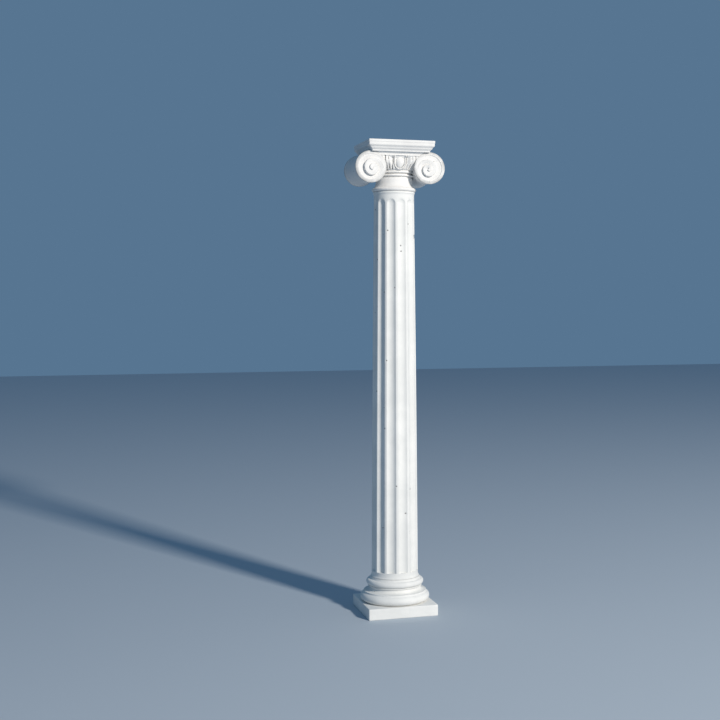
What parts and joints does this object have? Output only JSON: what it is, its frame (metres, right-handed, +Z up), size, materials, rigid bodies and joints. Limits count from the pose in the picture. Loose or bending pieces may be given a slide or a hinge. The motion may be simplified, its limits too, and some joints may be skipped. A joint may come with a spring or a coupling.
{
  "type": "ionic column",
  "caption": "Slender fluted stone column of the Ionic order with moulded base and square plinth, tapered shaft and scrolled capital.",
  "frame": {"origin": "centre of the plinth's underside, on the ground", "axes": "+Z up the column's axis; -Y out of the front, the face with two scrolls; +X to the right of someone facing the front"},
  "size_m": [0.441, 0.346, 2.3],
  "materials": {
    "base_stone": "matt cast stone",
    "shaft_stone": "matt cast stone",
    "capital_stone": "matt cast stone"
  },
  "bodies": {
    "root": {"base": "base_stone", "shaft": "shaft_stone", "capital": "capital_stone"}
  },
  "joints": []
}
